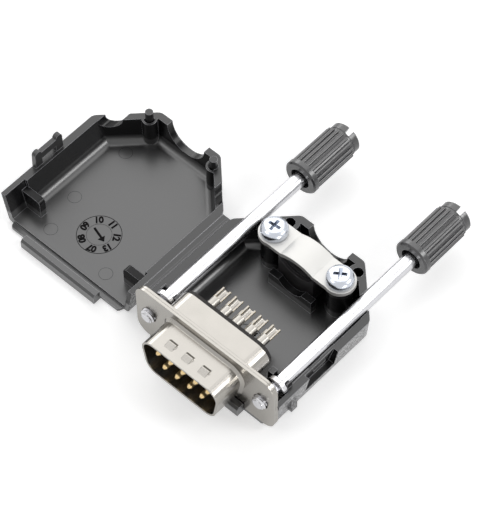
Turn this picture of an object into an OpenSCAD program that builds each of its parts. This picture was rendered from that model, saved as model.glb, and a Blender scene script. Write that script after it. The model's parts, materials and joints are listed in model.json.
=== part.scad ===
// Folding hood for a nine-way subminiature D connector, built up and standing open.
// +Y runs from the connector mouth to the cable outlet, +Z is up and X = 0 is the middle of the
// base half. The origin is on the underside of the base half, below the plane where the
// connector flange seats. The cover half lies opened flat to the left of the base half.

/* [Shell halves] */
// Half of the width of one half, at the parting plane
half_w = 15.6; // [15.6:0.1:16.2]
// Length of the hood from mouth to cable end
shell_l = 31; // [31:0.5:33]
// Depth of one half, from the parting plane to its underside
half_depth = 6.9; // [6.9:0.1:7.5]
// Thickness of the floor
floor_t = 1.15; // [0.9:0.05:1.15]
// Thickness of the side walls behind the mouth
wall_t = 1.5; // [1.4:0.05:1.6]
// Thickness of the shoulders and of the back wall
end_wall_t = 1.35; // [1.2:0.05:1.4]
// Thickness of the side walls at the mouth
mouth_wall_t = 0.95; // [0.85:0.05:0.95]
// Leg of the slanted shoulders beside the cable outlet
shoulder = 8.5; // [8.3:0.1:8.7]
// How far the side walls lean in from the parting plane to the underside
wall_lean = 1.3; // [1.2:0.05:1.4]
// Draft of the shoulders and of the back wall over the same depth
end_draft = 0.2; // [0.1:0.05:0.3]
// Radius of the upright corners
corner_r = 1.5; // [1:0.1:1.6]

/* [Fold and latch] */
// Distance between the rims of the two halves, bridged by the thin film
fold_gap = 1.8; // [1.6:0.1:2.2]
// Thickness of the thin film at the fold
film_t = 0.35; // [0.25:0.05:0.45]
// Height of the latch loop above the rim of the cover
loop_h = 3.8; // [3.6:0.1:4]
// Opening of the latch loop along the hood
loop_window = 3.1; // [2.9:0.1:3.2]
// Width of each upright of the latch loop at its foot
loop_leg = 1.9; // [1.7:0.1:2]

/* [Cable clamp] */
// Radius of the cable outlet
outlet_r = 4.35; // [3.5:0.05:4.5]
// Distance from the middle to each screw boss
boss_x = 7.35; // [7.3:0.05:7.5]
// Radius of the screw bosses
boss_r = 2.4; // [2.3:0.05:2.5]
// Height of the bosses above the parting plane
boss_rise = 1.3; // [1:0.1:1.4]
// Thickness of the clamp plate
clamp_t = 0.85; // [0.7:0.05:1]
// Rise of the arch in the clamp plate
arch_rise = 0.9; // [0.7:0.1:1.4]
// Width of the grip block
grip_w = 7.8; // [7:0.1:8]

/* [Thumbscrews] */
// Spacing of the two thumbscrews
jack_pitch = 24.99; // [24.9:0.01:25.1]
// Radius of the plain rod
rod_r = 1.35; // [1.25:0.05:1.35]
// Outer radius of the threaded tip
thread_r = 1.42; // [1.4:0.01:1.45]
// Outer radius of the knob at its near band
knob_r = 3.45; // [3.3:0.05:3.6]
// Number of ribs round the knob
knob_ribs = 18; // [14:1:20]
// Length of the knob
knob_l = 12.4; // [11:0.1:13]

/* [Connector] */
// Width of the connector flange
flange_w = 30.81; // [30.7:0.01:30.9]
// Height of the connector flange
flange_h = 12.55; // [12.4:0.01:12.55]
// Width of the front shell across its wide side
plug_w = 16.92; // [16.8:0.01:17]
// Height of the front shell
plug_h = 8.36; // [8.3:0.01:8.4]
// Spacing of the contacts in a row
pin_pitch = 2.77; // [2.74:0.01:2.77]
// Spacing of the two rows of contacts
row_pitch = 2.84; // [2.8:0.01:2.84]

/* [Hidden] */
$fn = 48;
hull_fn = 32;               // facets of the rounded corners of a hull
skin = 0.02;                // thickness of the slices that a hull joins
clear = 0.02;               // running gap between faces that meet
gap = 0.01;                 // gap round a piece that sits fast in another
far = 60;                   // longer than anything here

// Shell, measured from the parting plane, which is z = 0 in the modules of one half.
rim_z = -clear;
floor_z = -half_depth + floor_t;
back_half = half_w - shoulder;
shoulder_y = shell_l - shoulder;
fold_x = half_w + fold_gap / 2;
inner_fillet = 1.2;
outer_fillet = 0.6;
rib_y = 3.5;                // face of the ribs that stop the thumbscrew collars
rib_t = 1.4;
rib_in = 9.95;              // inner end of these ribs
rib_out = half_w - mouth_wall_t - 0.45; // outer end of the part that rises above the base
rib_rise = 1.3;             // top of the ribs of the base, above the parting plane
rib_low_z = -1.65;          // top of the ribs of the cover, which meet them
rib_round = 0.9;
mouth_l = rib_y + rib_t - 0.1; // length of the thinner walls at the mouth
jack_x = jack_pitch / 2;
jack_notch_r = rod_r + 0.1;
jack_slot_w = 3;
jack_slot_z = -1.85;

// Lip and ledge that hold the flange of the connector.
seat_y = 1.05;              // front face of the flange, ahead of the mouth plane
seat_half = 12.9;
seat_t = 0.6;
lip_half = 8.75;
lip_y0 = 1.2;
lip_y1 = 2.7;
lip_h = 2.1;
lip_bevel = 0.45;

// Posts and their holes, bosses, saddle and cradle.
post_x = 7.65;
post_y = shell_l - 2.4;
post_ring_r = 1.4;
post_r = 0.8;
post_tip_r = 0.72;
post_h = 1.95;
post_recess_r = 1.05;
post_recess_d = 0.4;
post_hole_r = 0.95;
post_hole_d = 2.6;
boss_y = shell_l - 6.7;
boss_mouth_r = 1.45;
boss_mouth_d = 1.6;
pilot_r = 1.13;
saddle_y = boss_y + 1;
saddle_t = 1.4;
saddle_r = 3.8;
saddle_z = 2.3;
cradle_y = boss_y - 4.4;
cradle_t = 1.3;
cradle_half = 4.8;
cradle_top = -2.75;
cradle_r = 3.1;
cradle_z = -1;

// Latch.
loop_y = 11;
loop_t = 0.9;
loop_out = half_w;
loop_bar = 1.6;
loop_drop = 0.7;            // top of the crossbar, below the tops of the uprights
leg_top_r = 0.75;
leg_mid = (loop_window + loop_leg) / 2;
loop_half = loop_window / 2 + loop_leg;
pocket_half = loop_half + 0.1;
pocket_z = -loop_h - 0.8;
catch_half = loop_window / 2 - 0.1;
catch_x = half_w - loop_t - 0.08;
catch_z0 = -0.15;
catch_z1 = -loop_h + loop_drop + loop_bar + 0.1;

// Clamp.
clamp_z = boss_rise + clear;
clamp_end_r = 2.8;
strap_w = 5.4;
arch_half = 3.4;
arch_r = (arch_half * arch_half + arch_rise * arch_rise) / (2 * arch_rise);
arch_z = clamp_z + arch_rise - arch_r;
screw_hole_r = 1.7;
screw_r = 1.1;
screw_head_r = 2.45;
screw_head_h = 1.9;
screw_l = 8;
recess_w = 0.75;
recess_l = 2.7;
recess_d = 1.2;
grip_l = 3.6;
grip_y = (cradle_y + cradle_t + saddle_y) / 2;
grip_h = 7.05;
grip_base_z = floor_z + clear;
grip_top_z = grip_base_z + grip_h;
grip_dip = 2.1;
grip_r = 4.6;
grip_tooth = 0.45;
grip_teeth = 5;

// Thumbscrews.
tip_y = -2;
relief_r = 1.05;
collar_y0 = 2.4;
collar_y1 = rib_y - 0.05;
collar_r = 2;
knob_y = 36.5;
knob_end_y = knob_y + knob_l;
knob_band = 1.2;
knob_tail = 1.2;
knob_tail_r = knob_r - 0.45;
knob_mouth_r = 2;
knob_mouth_d = 2;
rod_end_y = knob_end_y - 2.6;
slot_w = 1;
slot_d = 1.5;
slot_turn = 20;

// Connector.
sheet = 0.5;
skirt_t = 0.4;
flange_gap = 0.05;          // between the flange and the mouth plane
flange_y1 = -flange_gap;
flange_y0 = flange_y1 - 2 * sheet;
flange_corner_r = 2.5;
flange_hole_r = 1.525;
front_y = flange_y0 - 5.9;
root_r = 0.5;               // size of the drawn transition from the flange to the skirt
dimple_pitch = 3.7;         // spring dimples of the skirt
dimple_w = 1.7;
dimple_y0 = front_y + 1.2;
dimple_y1 = front_y + 3;
dimple_h = 0.42;
rear_w = 19.3;
rear_h = 10.7;
rear_y = 4.3;
side_angle = 10;            // lean of the ends of the D
insulator_face_y = flange_y0 - 0.5;
insulator_back_y = 5.1;
pin_r = 0.5;
pin_y = front_y + 0.5;
stem_r = 0.75;
cup_r = 0.88;
cup_bore_r = 0.6;
cup_y = 10.6;
cup_l = 3.4;

// Places the shapes of one half in the base half or, folded open, in the cover half.
module in_base() translate([0, 0, half_depth]) children();
module in_cover() translate([-2 * fold_x, 0, half_depth]) mirror([1, 0, 0]) children();
module both_sides() { children(); mirror([1, 0, 0]) children(); }

// Cylinder along +Y from y0 to y1.
module rod_y(r, y0, y1) translate([0, y0, 0]) rotate([-90, 0, 0]) cylinder(r = r, h = y1 - y0);

// Box given by its limits.
module box(x0, x1, y0, y1, z0, z1) translate([x0, y0, z0]) cube([x1 - x0, y1 - y0, z1 - z0]);

// ---------------------------------------------------------------- one half of the shell

// Plan of a half with its sides, and its shoulders and back, pulled in; it runs on past the mouth.
module plan(side_in, end_in) {
    r = max(0.3, corner_r - end_in / 2);
    side = half_w - side_in;
    back = shell_l - end_in;
    corner = half_w + shoulder_y - end_in * sqrt(2);    // x + y along a shoulder
    offset(r = r, $fn = hull_fn) offset(delta = -r)
        polygon([[-side, -10], [-side, corner - side], [back - corner, back],
                 [corner - back, back], [side, corner - side], [side, -10]]);
}

// Thin slice of the plan with its top at z; it follows the lean and the draft of the walls.
module slice(z, side_in, end_in) translate([0, 0, z - skin]) linear_extrude(skin)
    plan(side_in - z * wall_lean / half_depth, end_in - z * end_draft / half_depth);

// Outer body, with a rounded edge round its underside.
module outer_body() intersection() {
    hull() {
        slice(rim_z, 0, 0);
        slice(-half_depth + outer_fillet, 0, 0);
        slice(-half_depth + outer_fillet * 0.3, outer_fillet * 0.3, outer_fillet * 0.3);
        slice(-half_depth + skin, outer_fillet, outer_fillet);
    }
    box(-far, far, 0, far, -far, far);
}

// Hollow behind the mouth, with a fillet where the walls meet the floor.
module hollow() intersection() {
    hull() {
        slice(1, wall_t, end_wall_t);
        slice(floor_z + inner_fillet, wall_t, end_wall_t);
        for (step = [30, 60])
            slice(floor_z + inner_fillet * (1 - sin(step)), wall_t + inner_fillet * (1 - cos(step)),
                  end_wall_t + inner_fillet * (1 - cos(step)));
        slice(floor_z + skin, wall_t + inner_fillet, end_wall_t + inner_fillet);
    }
    box(-far, far, mouth_l - 0.1, far, -far, far);
}

// Wider hollow at the mouth.
module mouth_hollow() intersection() {
    hull() {
        slice(1, mouth_wall_t, end_wall_t);
        slice(floor_z + skin, mouth_wall_t + 0.2, end_wall_t);
    }
    box(-far, far, -far, mouth_l, -far, far);
}

// Ledge under the flange and the lip in front of it.
module seat_and_lip() {
    translate([0, 0, -half_depth]) linear_extrude(seat_t) polygon([
        [-seat_half - 0.5, 0.5], [-seat_half, -seat_y + 0.3], [-seat_half + 0.3, -seat_y],
        [-lip_half, -seat_y], [-lip_half, -lip_y1 + 0.3], [-lip_half + 0.3, -lip_y1],
        [lip_half - 0.3, -lip_y1], [lip_half, -lip_y1 + 0.3], [lip_half, -seat_y],
        [seat_half - 0.3, -seat_y], [seat_half, -seat_y + 0.3], [seat_half + 0.5, 0.5]]);
    translate([-lip_half, 0, -half_depth]) rotate([90, 0, 90]) linear_extrude(2 * lip_half)
        polygon([[-lip_y0, 0], [-lip_y0, lip_h], [-lip_y1 + lip_bevel, lip_h],
                 [-lip_y1, lip_h - lip_bevel], [-lip_y1, 0]]);
}

// What both halves share, with the half's own columns as children, before the notches are cut.
module half_body() {
    intersection() {
        outer_body();
        union() {
            difference() {
                box(-far, far, -far, far, -far, far);
                hollow();
                mouth_hollow();
            }
            children();
        }
    }
    seat_and_lip();
}

// Notches for the rods in the shoulders, and half of the cable outlet.
module notches() {
    both_sides() {
        hull() {
            translate([jack_x, 0, jack_slot_z + jack_slot_w / 2])
                rotate([-90, 0, 0]) translate([0, 0, shoulder_y - 1])
                cylinder(d = jack_slot_w, h = shoulder + 2, $fn = hull_fn);
            box(jack_x - jack_slot_w / 2, jack_x + jack_slot_w / 2,
                shoulder_y - 1, shell_l + 1, 0, 1);
        }
    }
    rod_y(outlet_r, post_y, shell_l + 1);
}

// Half of the thin film, on the side named by side.
module film(side) scale([side, 1, 1])
    box(half_w - 0.5, fold_x - 0.04, 0.3, shoulder_y - 0.3, rim_z - film_t, rim_z);

// ---------------------------------------------------------------- base half

// Rib that stops a thumbscrew collar: its notch, open at the top, holds the rod.
module collar_rib() difference() {
    union() {
        box(rib_in, half_w - 0.4, rib_y, rib_y + rib_t, floor_z - 0.3, rim_z);
        box(rib_in, rib_out, rib_y, mouth_l - 0.05, rim_z - 0.5, rib_rise);
    }
    translate([jack_x, 0, 0]) rod_y(jack_notch_r, 0, 10);
    box(jack_x - jack_notch_r, jack_x + jack_notch_r, 0, 10, 0, far);
}

// Column of a locating hole, with a web to the screw boss in front of it.
module locating_column() {
    box(boss_x - 0.9, boss_x + 0.5, boss_y + 1, shell_l - 1, floor_z - 0.2, rim_z);
    translate([post_x, post_y, floor_z - 0.2]) cylinder(r = 1.75, h = far);
}

// Screw boss and the raised part of its web, which stand up into the closed cover.
module screw_boss() {
    translate([boss_x, boss_y, floor_z - 0.2]) cylinder(r = boss_r, h = boss_rise - floor_z + 0.2);
    box(boss_x - 0.9, boss_x + 0.5, boss_y + 1, post_y - 1.7, floor_z - 0.2, boss_rise);
}

module boss_holes() {
    translate([boss_x, boss_y, 0]) {
        translate([0, 0, floor_z - 0.3]) cylinder(r = pilot_r, h = far);
        translate([0, 0, boss_rise - boss_mouth_d]) cylinder(r = boss_mouth_r, h = far);
    }
    translate([post_x, post_y, rim_z - post_hole_d]) cylinder(r = post_hole_r, h = far);
}

// Saddle wall between the bosses and the low cradle wall in front of the grip block.
module saddle() difference() {
    box(-boss_x + 1.6, boss_x - 1.6, saddle_y, saddle_y + saddle_t, floor_z - 0.2, boss_rise);
    translate([0, 0, saddle_z]) rod_y(saddle_r, 0, far);
}

module cradle() difference() {
    box(-cradle_half, cradle_half, cradle_y, cradle_y + cradle_t, floor_z - 0.2, cradle_top);
    translate([0, 0, cradle_z]) rod_y(cradle_r, 0, far);
}

// Pocket in the right wall that takes the latch loop, and the wedge that catches it.
module latch_pocket() translate([0, loop_y, 0]) intersection() {
    box(0, far, -pocket_half, pocket_half, pocket_z, 1);
    rotate([90, 0, 0]) linear_extrude(far, center = true)
        polygon([[half_w - 1.05, 1], [half_w - 1.05, -0.4],
                 [half_w - 1.05 + pocket_z * wall_lean / half_depth - 0.15, pocket_z],
                 [far, pocket_z], [far, 1]]);
}

module latch_catch() translate([0, loop_y, 0]) rotate([90, 0, 0])
    linear_extrude(2 * catch_half, center = true)
        polygon([[half_w - 1.2, catch_z0], [catch_x, catch_z1 + 0.5], [catch_x, catch_z1],
                 [half_w - 2.2, catch_z1]]);

module base_shell() color("#46464a") in_base() {
    difference() {
        union() {
            difference() {
                half_body() both_sides() locating_column();
                latch_pocket();
            }
            both_sides() collar_rib();
            latch_catch();
            both_sides() screw_boss();
            saddle();
            cradle();
        }
        notches();
        both_sides() boss_holes();
    }
    film(-1);
}

// ---------------------------------------------------------------- cover half

// Column of a locating post, with a ring-shaped recess round the foot of the post.
module post_column() translate([post_x, post_y, 0]) difference() {
    translate([0, 0, floor_z - 0.2]) cylinder(r = post_ring_r, h = far);
    translate([0, 0, rim_z - post_recess_d]) cylinder(r = post_recess_r, h = far);
}

module post() translate([post_x, post_y, rim_z - post_recess_d - 0.2])
    cylinder(r1 = post_r, r2 = post_tip_r, h = post_h - rim_z + post_recess_d + 0.2);

// Low rib that meets the rib of the base over a thumbscrew rod.
module cover_rib() translate([0, rib_y + rib_t, 0]) rotate([90, 0, 0]) linear_extrude(rib_t) {
    polygon([[rib_in, floor_z - 0.3], [rib_in, rib_low_z - rib_round],
             [rib_in + rib_round, rib_low_z], [half_w - 0.6, rib_low_z],
             [half_w - 1.9, floor_z - 0.3]]);
    translate([rib_in + rib_round, rib_low_z - rib_round]) circle(r = rib_round);
}

// Loop on the left wall: two tapered uprights with round tops and a crossbar below them.
module latch_loop() translate([loop_out - loop_t, loop_y, 0]) rotate([90, 0, 90])
    linear_extrude(loop_t) {
        for (side = [-1, 1]) translate([side * leg_mid, 0]) {
            polygon([[-loop_leg / 2, -2], [loop_leg / 2, -2], [leg_top_r, loop_h - leg_top_r],
                     [-leg_top_r, loop_h - leg_top_r]]);
            translate([0, loop_h - leg_top_r]) circle(r = leg_top_r);
        }
        translate([-leg_mid, loop_h - loop_drop - loop_bar]) square([2 * leg_mid, loop_bar]);
        translate([-leg_mid, -2]) square([2 * leg_mid, 2]);
    }

module cover_shell() color("#4a4a4e") in_cover() {
    difference() {
        union() {
            half_body() both_sides() { post_column(); cover_rib(); }
            latch_loop();
            both_sides() post();
        }
        notches();
    }
    film(-1);
}

// ---------------------------------------------------------------- cable clamp

module clamp_plate() color("#e4e2dc") in_base() difference() {
    union() {
        both_sides() {
            translate([boss_x, boss_y, clamp_z]) cylinder(r = clamp_end_r, h = clamp_t);
            box(arch_half, boss_x, boss_y - strap_w / 2, boss_y + strap_w / 2,
                clamp_z, clamp_z + clamp_t);
        }
        intersection() {
            translate([0, 0, arch_z])
                rod_y(arch_r + clamp_t, boss_y - strap_w / 2, boss_y + strap_w / 2);
            box(-arch_half - clamp_t, arch_half + clamp_t, 0, far, clamp_z, far);
        }
    }
    translate([0, 0, arch_z]) rod_y(arch_r, 0, far);
    both_sides() translate([boss_x, boss_y, 0]) cylinder(r = screw_hole_r, h = far);
}

module clamp_screw() difference() {
    rotate_extrude() polygon([
        [0, -screw_l], [0.3, -screw_l], [screw_r, -screw_l + 1.2], [screw_r, 0],
        [screw_head_r - 0.15, 0], [screw_head_r, 0.2], [screw_head_r, 0.85],
        [screw_head_r * 0.9, 1.3], [screw_head_r * 0.68, 1.65],
        [screw_head_r * 0.35, 1.85], [0, screw_head_h]]);
    for (turn = [0, 90]) rotate([0, 0, turn])
        box(-recess_l / 2, recess_l / 2, -recess_w / 2, recess_w / 2,
            screw_head_h - recess_d, far);
}

module clamp_screws() color("#c9ccd2") in_base()
    for (side = [-1, 1]) translate([side * boss_x, boss_y, clamp_z + clamp_t + clear])
        rotate([0, 0, 20 + 15 * side]) clamp_screw();

// Block under the cable: a hollowed top with teeth across it.
module grip_block() color("#38363a") in_base() translate([0, grip_y, 0]) difference() {
    rotate([90, 0, 0]) linear_extrude(grip_l, center = true)
        polygon([[-grip_w / 2 + 0.8, grip_base_z], [grip_w / 2 - 0.8, grip_base_z],
                 [grip_w / 2, grip_base_z + 1.2], [grip_w / 2, grip_top_z],
                 [-grip_w / 2, grip_top_z], [-grip_w / 2, grip_base_z + 1.2]]);
    translate([0, 0, grip_top_z - grip_dip + grip_r]) {
        rod_y(grip_r, -grip_l, grip_l);
        for (tooth = [1 : grip_teeth - 1])
            translate([0, -grip_l / 2 + tooth * grip_l / grip_teeth, 0])
                rod_y(grip_r + grip_tooth, -0.2, 0.2);
    }
}

// ---------------------------------------------------------------- thumbscrews

module in_jack(side) translate([side * jack_x, 0, half_depth]) children();

// Turned rod: threaded tip with a relief where the flange sits, collar and plain shank.
module thumbscrew_rod(side) color("#d8dade") in_jack(side) {
    translate([0, tip_y, 0]) rotate([-90, 0, 0])
        cylinder(r1 = thread_r - 0.35, r2 = thread_r, h = 0.4);
    rod_y(thread_r, tip_y + 0.4, flange_y0 - 0.1);
    rod_y(relief_r, flange_y0 - 0.1, 0.1);
    rod_y(thread_r, 0.1, collar_y0);
    rod_y(collar_r, collar_y0, collar_y1);
    rod_y(rod_r, collar_y1, rod_end_y);
}

// Ribbed knob moulded on the end of the rod, with a driver slot in its end.
module thumbscrew_knob(side) color("#4c4c50") in_jack(side) difference() {
    union() {
        rod_y(knob_r - 0.55, knob_y, knob_end_y - knob_tail);
        rod_y(knob_r, knob_y + 0.3, knob_y + knob_band);
        translate([0, knob_y, 0]) rotate([-90, 0, 0])
            cylinder(r1 = knob_r - 0.3, r2 = knob_r, h = 0.3);
        for (rib = [0 : knob_ribs - 1]) rotate([0, rib * 360 / knob_ribs, 0])
            translate([knob_r - 0.45, 0, 0])
                rod_y(0.33, knob_y + knob_band / 2, knob_end_y - knob_tail - 0.8);
        rod_y(knob_tail_r, knob_end_y - knob_tail - 0.3, knob_end_y - 0.3);
        translate([0, knob_end_y - 0.3, 0]) rotate([-90, 0, 0])
            cylinder(r1 = knob_tail_r, r2 = knob_tail_r - 0.3, h = 0.3);
    }
    rod_y(knob_mouth_r, knob_y - 1, knob_y + knob_mouth_d);
    rod_y(rod_r + gap, knob_y, rod_end_y + 0.05);
    rotate([0, slot_turn, 0])
        box(-slot_w / 2, slot_w / 2, knob_end_y - slot_d, far, -far, far);
}

// ---------------------------------------------------------------- connector

// D outline of width w and height h, wide side up; its corners have radius r.
module d_outline(w, h, r) {
    drop = (h - 2 * r) * tan(side_angle);
    top = w / 2 - r;
    hull() for (side = [-1, 1]) {
        translate([side * top, h / 2 - r]) circle(r = r, $fn = hull_fn);
        translate([side * (top - drop), -h / 2 + r]) circle(r = r, $fn = hull_fn);
    }
}

// Stands a flat X-Z outline up and runs it along Y from y0 to y1.
module upright(y0, y1) translate([0, y1, 0]) rotate([90, 0, 0])
    linear_extrude(y1 - y0) children();

// Flange sheet with rounded corners and the two holes for the thumbscrews.
module flange(y0, y1, w, h, r) upright(y0, y1) difference() {
    translate([-flange_w / 2 + flange_corner_r, -flange_h / 2])
        square([flange_w - 2 * flange_corner_r, flange_h]);
    d_outline(w, h, r);
}

module flange_ends(y0, y1) both_sides() {
    for (up = [-1, 1]) translate([flange_w / 2 - flange_corner_r, 0,
                                  up * (flange_h / 2 - flange_corner_r)])
        rod_y(flange_corner_r, y0, y1);
    box(flange_w / 2 - flange_corner_r, flange_w / 2, y0, y1,
        -flange_h / 2 + flange_corner_r, flange_h / 2 - flange_corner_r);
}

module jack_holes() both_sides() translate([jack_x, 0, 0]) rod_y(flange_hole_r, -far, far);

// Drawn transition round the foot of the front skirt.
module skirt_root() difference() {
    hull() {
        upright(flange_y0 - root_r, flange_y0 + skin) d_outline(plug_w, plug_h, 2.6);
        upright(flange_y0, flange_y0 + skin)
            d_outline(plug_w + 2 * root_r, plug_h + 2 * root_r, 2.6 + root_r);
    }
    upright(flange_y0 - 1, flange_y0 + 1)
        d_outline(plug_w - 2 * skirt_t, plug_h - 2 * skirt_t, 2.2);
}

// Ramp-shaped spring dimples: three on the wide side of the skirt, two on the narrow side.
module dimple(x) translate([x - dimple_w / 2, 0, plug_h / 2]) rotate([90, 0, 90])
    linear_extrude(dimple_w)
        polygon([[dimple_y0, -0.1], [dimple_y0, 0], [dimple_y1 - 0.6, dimple_h],
                 [dimple_y1 - 0.5, dimple_h], [dimple_y1, 0], [dimple_y1, -0.1]]);

module connector_front_shell() color("#cfcac2") in_base() difference() {
    union() {
        flange(flange_y0, flange_y0 + sheet, plug_w - 2 * skirt_t, plug_h - 2 * skirt_t, 2.2);
        flange_ends(flange_y0, flange_y0 + sheet);
        upright(front_y, flange_y0 + sheet) difference() {
            d_outline(plug_w, plug_h, 2.6);
            d_outline(plug_w - 2 * skirt_t, plug_h - 2 * skirt_t, 2.2);
        }
        skirt_root();
        for (n = [-1, 0, 1]) dimple(n * dimple_pitch);
        for (n = [-0.5, 0.5]) mirror([0, 0, 1]) dimple(n * dimple_pitch);
    }
    jack_holes();
}

module connector_rear_shell() color("#c6c1b8") in_base() difference() {
    union() {
        flange(flange_y1 - sheet + clear, flange_y1, rear_w - 2 * skirt_t, rear_h - 2 * skirt_t, 2.4);
        flange_ends(flange_y1 - sheet + clear, flange_y1);
        upright(flange_y1 - sheet + clear, rear_y) difference() {
            d_outline(rear_w, rear_h, 2.8);
            d_outline(rear_w - 2 * skirt_t, rear_h - 2 * skirt_t, 2.4);
        }
    }
    jack_holes();
}

// Position of contact number n: 1 to 5 along the top row, 6 to 9 along the lower one.
function contact_x(n) = n <= 5 ? (n - 3) * pin_pitch : (n - 7.5) * pin_pitch;
function contact_z(n) = n <= 5 ? row_pitch / 2 : -row_pitch / 2;
module at_contact(n) translate([contact_x(n), 0, contact_z(n)]) children();

module front_insulator() color("#1b1614") in_base() difference() {
    upright(insulator_face_y, flange_y0 + sheet)
        d_outline(plug_w - 2 * skirt_t - 2 * gap, plug_h - 2 * skirt_t - 2 * gap, 2.2);
    for (n = [1 : 9]) at_contact(n) rod_y(pin_r + gap, -far, far);
}

module rear_insulator() color("#221c19") in_base() difference() {
    upright(flange_y1 - sheet + clear, insulator_back_y)
        d_outline(rear_w - 2 * skirt_t - 2 * gap, rear_h - 2 * skirt_t - 2 * gap, 2.4);
    for (n = [1 : 9]) at_contact(n) rod_y(stem_r + gap, -far, far);
}

// Turned contact: pin in front, stem in the insulator and a cut-away solder cup behind.
module contact(n) color("#c9a24e") in_base() at_contact(n) difference() {
    union() {
        translate([0, pin_y, 0]) rotate([-90, 0, 0])
            cylinder(r1 = pin_r * 0.5, r2 = pin_r, h = 0.4);
        rod_y(pin_r, pin_y + 0.4, 0.3);
        rod_y(stem_r, flange_y1 - sheet + 2 * clear, insulator_back_y + 0.4);
        rod_y(cup_r, insulator_back_y + 0.1, cup_y);
    }
    rod_y(cup_bore_r, cup_y - cup_l, far);
    box(-far, far, cup_y - cup_l + 0.8, far, 0.15, far);
}

base_shell();
cover_shell();
clamp_plate();
clamp_screws();
grip_block();
thumbscrew_rod(-1);  // thumbscrew_rod_left
thumbscrew_rod(1);  // thumbscrew_rod_right
thumbscrew_knob(-1);  // thumbscrew_knob_left
thumbscrew_knob(1);  // thumbscrew_knob_right
connector_front_shell();
connector_rear_shell();
front_insulator();
rear_insulator();
for (n = [1 : 9]) contact(n);
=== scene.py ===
import json
import math

import bmesh
import bpy
from mathutils import Matrix, Vector


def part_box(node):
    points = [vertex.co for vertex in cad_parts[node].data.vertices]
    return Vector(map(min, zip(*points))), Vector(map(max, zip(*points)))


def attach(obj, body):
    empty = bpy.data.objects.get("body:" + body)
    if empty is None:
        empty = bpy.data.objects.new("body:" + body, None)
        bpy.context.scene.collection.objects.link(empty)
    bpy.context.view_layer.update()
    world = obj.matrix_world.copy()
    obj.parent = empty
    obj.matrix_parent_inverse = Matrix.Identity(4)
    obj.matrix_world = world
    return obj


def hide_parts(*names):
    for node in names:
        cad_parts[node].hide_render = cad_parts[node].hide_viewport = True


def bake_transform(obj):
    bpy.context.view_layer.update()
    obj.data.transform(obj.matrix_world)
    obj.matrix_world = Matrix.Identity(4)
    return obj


bl_info = {
    "name": "Connector Hood",
    "version": (1, 0, 0),
    "blender": (4, 5, 0),
    "location": "View3D > Sidebar > Hood",
    "description": "Finishes a folding connector hood: plastics, metals, dials, threads, stage",
    "category": "Object",
}

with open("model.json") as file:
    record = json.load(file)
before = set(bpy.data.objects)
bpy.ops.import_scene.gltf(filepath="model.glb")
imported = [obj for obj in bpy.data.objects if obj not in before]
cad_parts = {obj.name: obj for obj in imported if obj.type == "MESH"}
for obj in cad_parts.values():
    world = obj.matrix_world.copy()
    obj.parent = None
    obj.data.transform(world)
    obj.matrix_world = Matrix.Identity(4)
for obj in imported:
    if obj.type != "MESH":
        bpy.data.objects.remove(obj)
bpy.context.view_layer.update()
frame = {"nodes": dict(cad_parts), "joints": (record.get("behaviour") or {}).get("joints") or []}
NODES = frame["nodes"]
MM = 0.001


def middle(node):
    """Middle of a CAD node's box."""
    low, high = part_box(node)
    return (low + high) / 2


# The base half stands round X = 0 and the open cover half round COVER_X. Both rims lie at
# PARTING_Z and both floors at FLOOR_Z.
FOLD = Vector(next(j["pos_m"] for j in frame["joints"] if j["name"] == "cover_hinge"))
PARTING_Z = FOLD.z
COVER_X = 2 * FOLD.x
FLOOR_Z = 1.15 * MM
SIDES = {"left": -1, "right": 1}


# ---------------------------------------------------------------- settings

def length(name, text, value):
    """A length setting, with its value in millimetres."""
    return bpy.props.FloatProperty(
        name=name, description=text, default=value * MM, min=0.0, max=0.1,
        precision=6, unit="LENGTH")


def colour(name, text, value):
    """A colour setting."""
    return bpy.props.FloatVectorProperty(
        name=name, description=text, default=value, size=3, min=0, max=1, subtype="COLOR")


class HoodSizes(bpy.types.PropertyGroup):
    """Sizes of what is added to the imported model."""

    dial_r: length("Dial Radius", "Radius of the ring round each date dial", 4.0)
    dial_hub_r: length("Dial Hub Radius", "Radius of the turning middle of a dial", 2.25)
    dial_rise: length("Dial Rise", "How far numbers and arrow stand up from the floor", 0.08)
    mark_r: length("Ejector Mark Radius", "Radius of the ejector pins' marks", 1.25)
    fillet_r: length("Floor Fillet", "Radius of the corner between floor and walls", 1.45)
    film_rise: length("Film Skin", "How far the film's skin covers the two packed halves", 0.006)
    thread_r: length("Thread Radius", "Outer radius of the thumbscrews' threads", 1.42)
    thread_root_r: length("Thread Root", "Radius at the bottom of the threads", 1.13)
    thread_pitch: length("Thread Pitch", "Distance from one turn of thread to the next", 0.635)
    head_r: length("Screw Head Radius", "Radius of the clamp screws' heads", 2.45)


class HoodColours(bpy.types.PropertyGroup):
    """Colours of the finishes."""

    hood: colour("Hood Plastic", "Colour of the two shells", (0.009, 0.009, 0.0096))
    knob: colour("Knob Plastic", "Colour of the thumbscrew knobs", (0.034, 0.034, 0.036))
    grip: colour("Grip Plastic", "Colour of the block under the cable", (0.028, 0.026, 0.028))
    nickel: colour("Nickel", "Colour of the thumbscrews' rods", (0.62, 0.62, 0.64))
    clamp: colour("Clamp Plate", "Colour of the clamp plate", (0.55, 0.545, 0.53))
    zinc: colour("Zinc", "Colour of the clamp screws", (0.58, 0.61, 0.67))
    tin: colour("Tin", "Colour of the plug's two shells", (0.35, 0.335, 0.31))
    insulator: colour("Insulator", "Colour of the plug's insulators", (0.008, 0.006, 0.005))
    gold: colour("Gold", "Colour of the plug's contacts", (0.66, 0.50, 0.26))
    backdrop: colour("Floor", "Colour of the floor", (0.80, 0.80, 0.80))


def sizes():
    """The size settings."""
    return bpy.context.scene.hood_sizes


def colours():
    """The colour settings."""
    return bpy.context.scene.hood_colours


# ---------------------------------------------------------------- shader nodes

def feed(tree, value, socket):
    """Links an output into a socket, or sets a number or colour there."""
    if isinstance(value, bpy.types.NodeSocket):
        tree.links.new(value, socket)
    else:
        socket.default_value = value


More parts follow.
